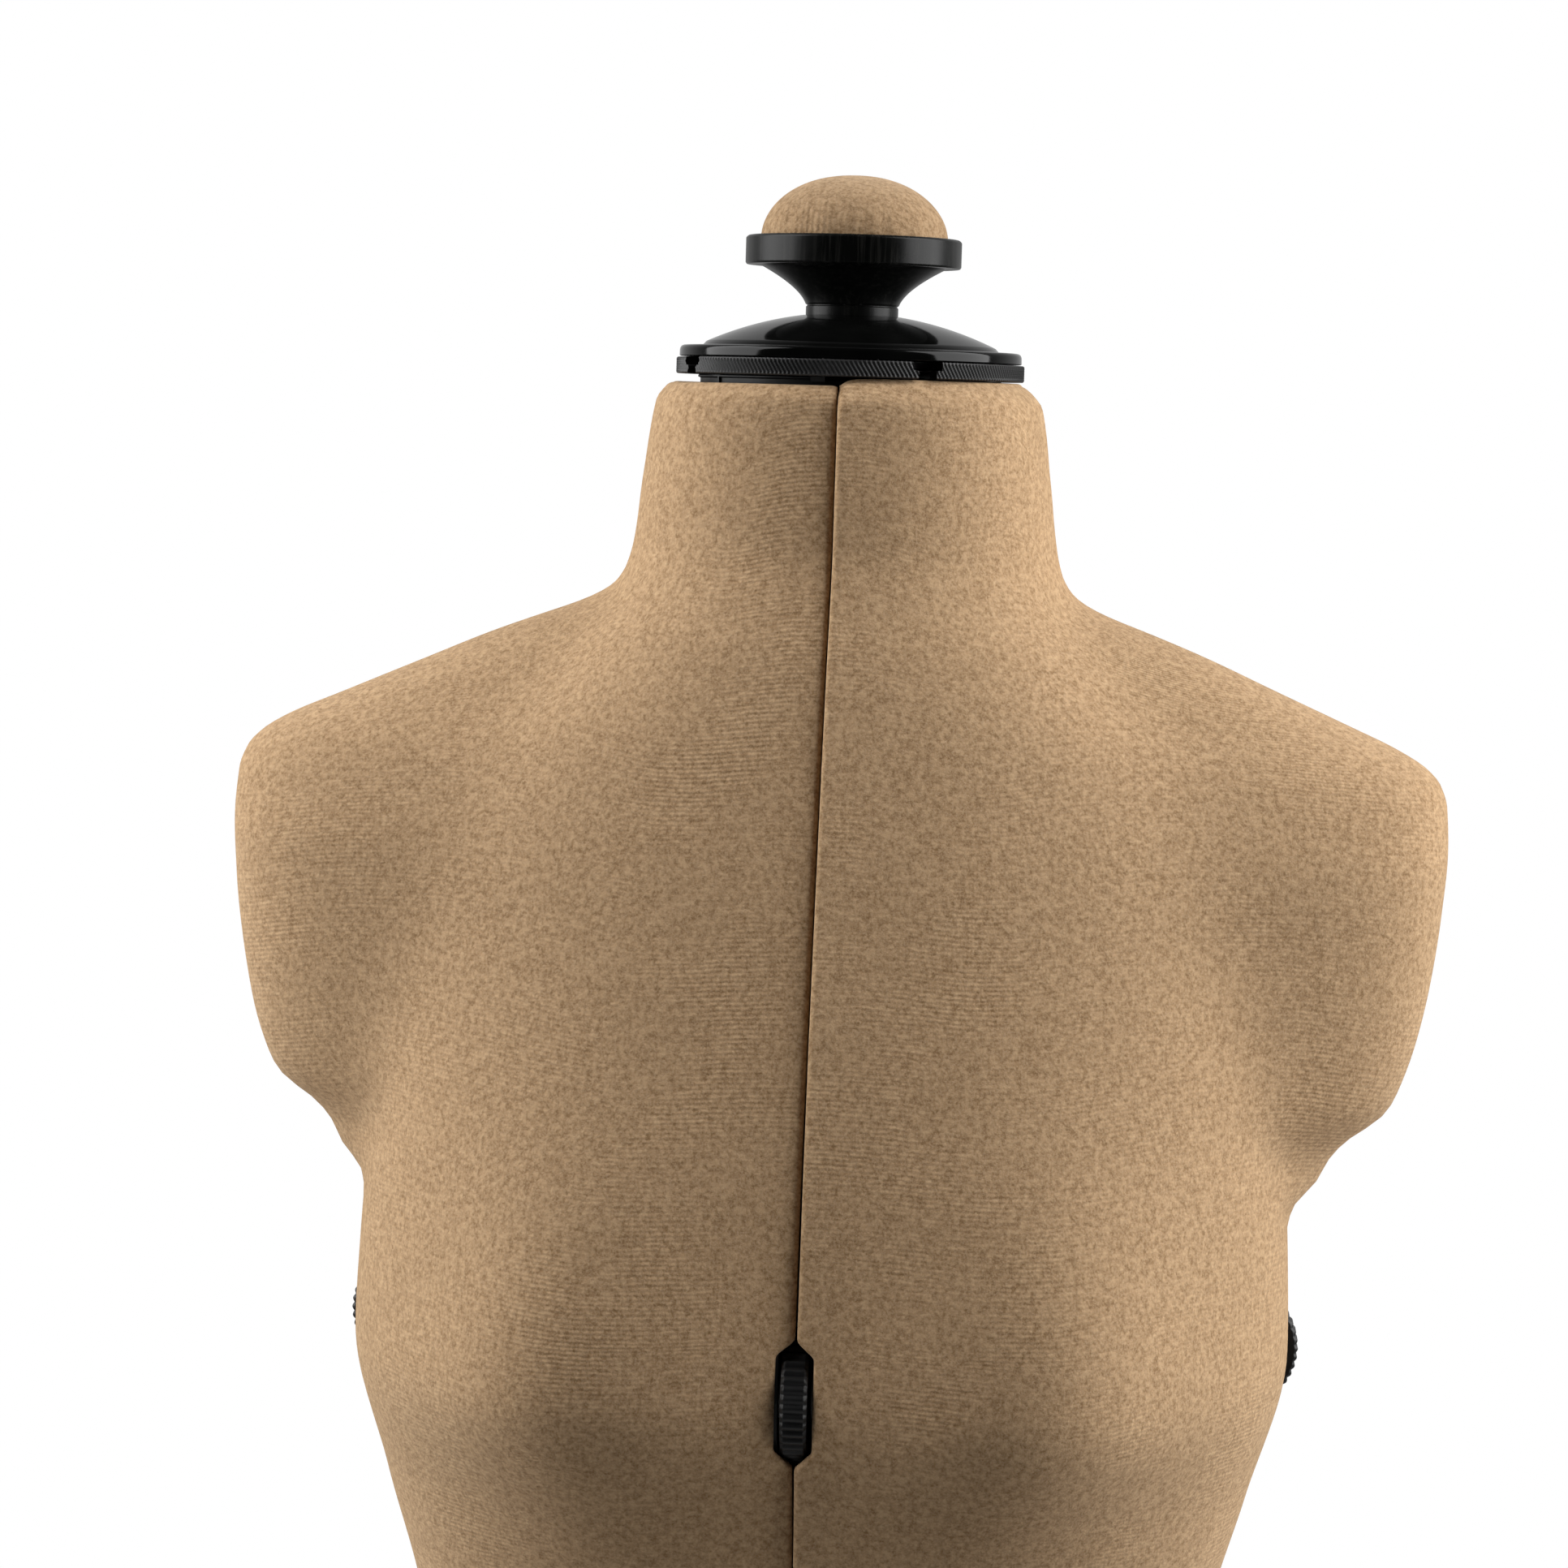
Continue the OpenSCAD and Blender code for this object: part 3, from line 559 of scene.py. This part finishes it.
def neck_dial():
    """The toothed ring: slanted teeth round its rim, and four stepped notches."""
    teeth = 250
    depth = 0.6 * MM
    slant = math.tan(math.radians(32)) / DIAL_R
    low, high = DIAL_Z
    web = high - 2 * MM
    rim_in = DIAL_R - 4.5 * MM
    rim_edge = DIAL_R - 0.5 * MM
    bore = 15.05 * MM
    chamfer = 0.35 * MM
    wall = [(DIAL_R, z) for z in np.linspace(low + chamfer, high - chamfer, 9)]
    outline = [(bore, web), (rim_in, web), (rim_in, low), (rim_edge, low)] + wall \
        + [(rim_edge, high), (bore, high), (bore, web)]

    def toothed(r, z, angle):
        phase = (angle + (z - low) * slant) * teeth / TURN
        saw = np.abs((phase % 1) - 0.5) * 2
        on_wall = r > DIAL_R - 0.4 * MM
        end = np.clip(np.minimum(z - low, high - z) / (0.8 * MM), 0, 1)
        return np.where(on_wall, r - depth * saw * end - 0.12 * MM * (1 - end), r)

    piece = add_mesh("neck_dial_ring", *turned(outline, teeth * 8, toothed), "neck_adjuster", DIAL_BLACK,
                     "black_plastic", ["neck_dial"], crease=28)
    mid = (low + high) / 2
    step = rounded([(-3, low / MM - 2, 0), (3, low / MM - 2, 0), (3, mid / MM, 0.9), (5, mid / MM, 0.3),
                    (5, high / MM + 2, 0), (-5, high / MM + 2, 0), (-5, mid / MM, 0.3), (-3, mid / MM, 0.9),
                    (-3, low / MM - 2, 0)])[:-1] * MM
    n = len(step)
    inside, outside = 46 * MM, 58 * MM
    verts = np.array([(x, y, z) for x in (inside, outside) for y, z in step])
    faces = [[i, (i + 1) % n, n + (i + 1) % n, n + i] for i in range(n)]
    faces += [list(range(n)), list(range(n, 2 * n))]
    turns = [Matrix.Rotation(math.radians(FIRST_NOTCH + 90 * k), 4, "Z") for k in range(4)]
    return cut(piece, [moved((verts, faces), turn) for turn in turns])


def neck_cap():
    """The domed cap, with a thin rolled lip and a flat seat for the cup."""
    lip_h, lip_r = 3.6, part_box("neck_cap")[1].x / MM
    dome_r, top = 107.0, 14.9
    seat_r, seat_h, meet_r = 14.5, 13.1, 46.0
    dome = [(r, top - dome_r + np.sqrt(dome_r ** 2 - r ** 2), 0)
            for r in np.linspace(seat_r + 0.9, meet_r - 0.8, 40)]
    seat = [(0, seat_h, 0), (seat_r - 0.4, seat_h, 0), (seat_r, 13.15, 0)]
    lip = [(meet_r + 0.4, lip_h, 0.9), (lip_r - 0.1, lip_h - 0.1, 1.8), (lip_r, 0.1, 1.2),
           (lip_r - 0.6, 0, 0.3), (lip_r - 2.5, 0, 0.3), (lip_r - 2.7, 1.4, 0.3)]
    inside = [(43, 1.5, 0.5), (38, 4.5, 3), (20, 10.2, 5), (9, 11, 0.5), (9, -1.05, 0.3), (4.05, -1.05, 0)]
    corners = seat + dome + lip + inside
    outline = rounded([(r * MM, CAP_RIM + z * MM, f * MM) for r, z, f in corners], 6)
    return add_mesh("neck_cap_dome", *turned(outline, 256), "torso_core", CAP_BLACK, "gloss_black",
                    ["neck_cap"], crease=40)


def pincushion_cup():
    """The turned cup: a collar, a hollow neck that flares out, and a deep band round the cushion."""
    band_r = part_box("pincushion_cup")[1].x / MM
    neck, bend, mouth = (14.6, 17.3), (16.5, 22.4), (28.5, 28.75)
    flare = [(*((1 - t) ** 2 * a + 2 * t * (1 - t) * b + t * t * c for a, b, c in zip(neck, bend, mouth)), 0)
             for t in np.linspace(0, 1, 24)]
    collar = [(0, 13.3, 0), (14.2, 13.3, 0.3), (14.45, 13.7, 0.3), (14.45, 16.5, 0.3),
              (14.1, 16.75, 0.15), (14.1, 17.0, 0.15)]
    band = [(28.9, 29.15, 0.3), (band_r - 0.4, 29.15, 0.4), (band_r, 29.7, 0.5), (band_r, 37.4, 0.8),
            (band_r - 0.8, 38.1, 0.8)]
    well = [(30.1, 38.1, 0.8), (29.4, 37.4, 0.8), (29.4, 32.5, 0.6), (0, 32.5, 0)]
    corners = collar + flare + band + well
    outline = rounded([(r * MM, CAP_RIM + z * MM, f * MM) for r, z, f in corners], 5)
    return add_mesh("pincushion_holder", *turned(outline, 256), "torso_core", CUP_BLACK, "satin_black",
                    ["pincushion_cup"], crease=40)


def pincushion():
    """The stuffed dome, its cover tucked down inside the cup's band."""
    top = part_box("pincushion_cover")[1].z - CAP_RIM
    r_max, centre = 29.2, 37.2
    rise = top / MM - centre
    angle = np.radians(np.linspace(90, 0, 44))
    squared = 0.94
    dome = np.stack([r_max * np.cos(angle) ** squared, centre + rise * np.sin(angle)], 1)
    tuck = np.array([(29.15, 36.2), (28.9, 35.2), (28.3, 34.2), (26.8, 33.3), (22, 32.9), (0, 32.8)])
    outline = np.concatenate([dome, tuck]) * MM + [0, CAP_RIM]
    segments = 192

    def plump(r, z, around):
        share = np.clip(r / (r_max * MM), 0, 1)
        fold = 0.12 * MM * np.sin(23 * around + 1.3 * np.sin(5 * around)) * share ** 6
        sag = 0.35 * MM * np.sin(3 * around + 0.8) * share * (1 - share)
        return r + fold + sag

    verts, faces = turned(outline, segments, plump)
    lift = 0.25 * MM * np.sin(verts[:, 0] * 150 + 0.7) * np.sin(verts[:, 1] * 170 + 0.4)
    verts[:, 2] += np.where(verts[:, 2] > CAP_RIM + 40 * MM, lift, 0)
    widened = 1 + 2.5 * (verts[:, 2] - CAP_RIM - 38 * MM)
    uv = np.stack([verts[:, 1] + verts[:, 2], verts[:, 0] * widened], -1)
    piece = add_mesh("pincushion_fabric", verts, faces, "torso_core", CUSHION_KNIT, "cover_fabric",
                     ["pincushion_cover"], uv, smooth_all=True)
    return piece


def neck_plate():
    """The disc that the panels hang from, its boss and spacers, four thin marks and a small hook."""
    low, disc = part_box("top_socket")[1].z, NECK_LINE + 1 * MM
    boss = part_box("neck_plate")[1].z
    disc_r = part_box("neck_plate")[1].x / MM
    step = NECK_LINE + 3 * MM
    under = disc - 3 * MM
    corners = [(4.05, boss, 0), (15, boss, 0.3), (15, step, 0.6), (43, step, 0.4), (43, disc, 0.4),
               (disc_r - 0.3, disc, 0.3), (disc_r, disc - 0.3 * MM, 0.3), (disc_r, disc - 0.8 * MM, 0.2),
               (disc_r - 0.7, disc - 1.0 * MM, 0.3), (disc_r - 0.7, under, 0.2), (4.05, under, 0),
               (4.05, boss, 0)]
    outline = rounded([(r * MM, z, f * MM) for r, z, f in corners], 4)
    segments = 192
    parts = [turned(outline[:-1], segments)]
    # the outline is a closed loop, so its last ring joins its first
    faces = parts[0][1]
    last = (len(outline) - 2) * segments
    faces += [[last + i, last + (i + 1) % segments, (i + 1) % segments, i] for i in range(segments)]
    for k in range(4):
        turn = Matrix.Rotation(math.pi / 2 * k, 4, "Z")
        spacer = turned([(0, low), (4 * MM, low), (4 * MM, disc - 2 * MM), (0, disc - 2 * MM)], 32)
        parts.append(moved(spacer, turn @ Matrix.Translation((30 * MM, 0, 0))))
        mark = block(((disc_r - 1.2) * MM, (disc_r + 0.05) * MM), (-0.3 * MM, 0.3 * MM),
                     (under, disc - 0.5 * MM))
        parts.append(moved(mark, Matrix.Rotation(math.radians(FIRST_MARK), 4, "Z") @ turn))
    front = -disc_r * MM
    parts.append(block((-8.6 * MM, -4.4 * MM), (front - 3.0 * MM, front + 3 * MM),
                       (NECK_LINE - 0.6 * MM, NECK_LINE + 0.9 * MM)))
    return add_mesh("neck_plate_disc", *joined(*parts), "torso_core", DIAL_BLACK, "black_plastic",
                    ["neck_plate"])


neck_dial()
neck_cap()
pincushion_cup()
pincushion()
neck_plate()

# ---- Adjusting dials ----

WHEEL_T, ROD_R = 8 * MM, 4 * MM


def thread(length, hand, pitch=2.2 * MM, segments=18):
    """A screw thread along Z from the wheel's face to length. hand is 1 or -1."""
    thread_depth, tip_taper, gap = 0.42 * MM, 0.5 * MM, 0.02 * MM
    steps = int(length / pitch * 6)
    z = np.linspace(WHEEL_T / 2 - 0.3 * MM, length, steps)[:, None]
    angle = np.linspace(0, TURN, segments, endpoint=False)[None, :]
    wave = 0.5 + 0.5 * np.cos(TURN * z / pitch - hand * angle)
    fade = np.clip((length - z) / (1.2 * MM), 0, 1)
    r = (ROD_R - gap) - thread_depth * (1 - wave) - tip_taper * (1 - fade)
    verts = np.stack([r * np.cos(angle), r * np.sin(angle), np.broadcast_to(z, r.shape)], -1)
    tip = [list(range((steps - 1) * segments, steps * segments))]
    return verts.reshape(-1, 3), grid_faces(steps, segments, closed=True) + tip


def dial_wheel():
    """The wheel: a grooved rim, a raised ring and a hub on each face."""
    half = WHEEL_T / 2 / MM
    face = [(3.6, half + 0.3, 0), (7, half + 0.3, 0.3), (7.6, half - 0.9, 0.4), (14.6, half - 0.9, 0.4),
            (15.4, half, 0.4), (19.0, half, 0.6), (20, half - 1.0, 0.6)]
    outline = rounded(face + [(r, -z, f) for r, z, f in reversed(face)], 4) * MM
    grooves = 44

    def grooved(r, z, angle):
        near_rim = np.clip((r - 18.6 * MM) / (1.0 * MM), 0, 1)
        wave = 0.5 - 0.5 * np.cos(grooves * angle)
        return r - 0.75 * MM * near_rim * (1 - np.sqrt(1 - 0.98 * wave))

    return turned(outline, grooves * 8, grooved)


def adjusting_dials():
    """One grooved wheel on a threaded rod for each dial of the frame."""
    wheel = dial_wheel()
    for side_index, side in enumerate(SIDES):
        across = side_index % 2 == 0
        for level in LEVELS:
            low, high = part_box(f"{side}_{level}_dial")
            centre = (low + high) / 2
            half_rod = (high - low)[0 if across else 1] / 2
            rod = joined(thread(half_rod, 1), moved(thread(half_rod, -1), Matrix.Rotation(math.pi, 4, "X")))
            axis = (1, 0, 0) if across else (0, 1, 0)
            verts, faces = moved(joined(wheel, rod), along(axis, centre))
            add_mesh(f"{side}_{level}_wheel_and_rod", verts, faces, f"{side}_{level}_wheel", DIAL_BLACK,
                     "black_plastic", [f"{side}_{level}_dial"], crease=42)


adjusting_dials()

# ---- CAD nodes that show as they are ----

FINISHES = {
    "black_metal": PAINT, "black_plastic": DIAL_BLACK, "steel": STEEL, "brass": BRASS,
    "slippery_plastic": WAXY, "moulded_plastic": NATURAL, "gloss_black": CAP_BLACK,
    "satin_black": CUP_BLACK, "cover_fabric": KNIT, "wadding": WADDING,
    "shell_plastic": SHELL_BLACK, "foot_rubber": RUBBER,
}
EASED = ("black_metal", "black_plastic", "foot_rubber")   # the slots whose parts get softened edges
for subpart in frame["record"]["subparts"]:
    node = frame["nodes"][subpart["node"]]
    node.data.materials.clear()
    node.data.materials.append(FINISHES[subpart["material_slot"]])
    if subpart["material_slot"] in EASED:
        edges = node.modifiers.new("softened_edges", "BEVEL")
        edges.width, edges.segments = 0.6 * MM, 3
        edges.limit_method, edges.angle_limit = "ANGLE", math.radians(42)
        edges.use_clamp_overlap = True
        edges.harden_normals = True

# ---- Stage, light and camera ----

def emission_floor():
    """A pale floor that fades into the white surround a few metres out, and can't be seen from below."""
    s = Shader("floor", (0.45, 0.45, 0.45), 0.9)
    place = s.place()
    distance = s.add("VectorMath", {0: place}, operation="LENGTH").outputs["Value"]
    fade = s.ramp(distance, 0, 1, 1.2, 3.4)
    glow = s.add("Emission", {"Color": (1, 1, 1, 1), "Strength": 1.0}).outputs[0]
    grain = s.noise(place, 90, 4)
    s.finish(Roughness=s.ramp(grain, 0.8, 0.95))
    camera_ray = s.add("LightPath").outputs["Is Camera Ray"]
    seen = s.math("MULTIPLY", fade, camera_ray)
    blend = s.add("MixShader", {0: seen, 1: s.bsdf.outputs[0], 2: glow})
    clear = s.add("BsdfTransparent").outputs[0]
    below = s.math("MULTIPLY", s.add("NewGeometry").outputs["Backfacing"], camera_ray)
    sides = s.add("MixShader", {0: below, 1: blend.outputs[0], 2: clear})
    s.tree.links.new(sides.outputs[0], s.tree.nodes["Material Output"].inputs[0])
    return s.material


def stage():
    """A round floor just under the feet."""
    floor_r, sunk = 4.0, 0.5 * MM
    verts, faces = turned([(floor_r, 0), (0, 0)], 96)
    mesh = bpy.data.meshes.new("floor")
    mesh.from_pydata([tuple(v) for v in verts], [], faces)
    mesh.materials.append(emission_floor())
    floor = bpy.data.objects.new("floor", mesh)
    floor.location.z = -sunk
    bpy.context.scene.collection.objects.link(floor)


def surround():
    """White to look at, and for lighting a bright back half with a dim front."""
    world = bpy.data.worlds.new("surround")
    bpy.context.scene.world = world
    world.use_nodes = True
    nodes, links = world.node_tree.nodes, world.node_tree.links
    output = nodes["World Output"]
    white = nodes["Background"]
    white.inputs["Color"].default_value = (1, 1, 1, 1)
    white.inputs["Strength"].default_value = 1.0
    direction = nodes.new("ShaderNodeTexCoord")
    split = nodes.new("ShaderNodeSeparateXYZ")
    links.new(direction.outputs["Generated"], split.inputs[0])
    back = nodes.new("ShaderNodeMapRange")
    back.interpolation_type = "SMOOTHSTEP"
    for key, value in {"From Min": 0.05, "From Max": 0.75, "To Min": 0.01, "To Max": 0.7}.items():
        back.inputs[key].default_value = value
    links.new(split.outputs["Y"], back.inputs["Value"])
    light = nodes.new("ShaderNodeBackground")
    links.new(back.outputs[0], light.inputs["Strength"])
    path = nodes.new("ShaderNodeLightPath")
    either = nodes.new("ShaderNodeMixShader")
    links.new(path.outputs["Is Camera Ray"], either.inputs[0])
    links.new(light.outputs[0], either.inputs[1])
    links.new(white.outputs[0], either.inputs[2])
    links.new(either.outputs[0], output.inputs["Surface"])


def softbox(name, azimuth, power, height=1.95, distance=1.3, size=(1.3, 2.0), aim_height=1.42):
    """A large soft light at an azimuth round the form, 0 in front and 90 on its left."""
    a = math.radians(azimuth)
    at = Vector((distance * math.sin(a), -distance * math.cos(a), height))
    data = bpy.data.lights.new(name, "AREA")
    data.shape = "RECTANGLE"
    data.size, data.size_y = size
    data.energy = power
    lamp = bpy.data.objects.new(name, data)
    lamp.location = at
    lamp.rotation_mode = "QUATERNION"
    lamp.rotation_quaternion = (at - Vector((0, 0, aim_height))).to_track_quat("Z", "Y")
    lamp.visible_camera = False
    bpy.context.scene.collection.objects.link(lamp)


def camera():
    """Square to the neck from a little over a metre, a touch to the form's left, and tilted a little."""
    azimuth, distance, eye, look_at = 4.5, 1.35, NECK_TOP - 8 * MM, NECK_TOP - 127 * MM
    aside, roll, lens = -17.0 * MM, 1.65, 98.6
    a = math.radians(azimuth)
    back = Vector((math.sin(a), -math.cos(a), 0))
    right = Vector((math.cos(a), math.sin(a), 0))
    data = bpy.data.cameras.new("camera")
    data.lens, data.sensor_width = lens, 36
    data.clip_start, data.clip_end = 0.05, 100
    cam = bpy.data.objects.new("camera", data)
    target = right * aside + Vector((0, 0, look_at))
    cam.location = right * aside + back * distance + Vector((0, 0, eye))
    cam.rotation_mode = "QUATERNION"
    aimed = (cam.location - target).to_track_quat("Z", "Y")
    cam.rotation_quaternion = aimed @ Quaternion((0, 0, 1), math.radians(roll))
    bpy.context.scene.collection.objects.link(cam)
    bpy.context.scene.camera = cam


stage()
surround()
softbox("left_softbox", -84, 43)
softbox("right_softbox", 85, 47)
camera()
bpy.context.scene.view_settings.view_transform = "Standard"
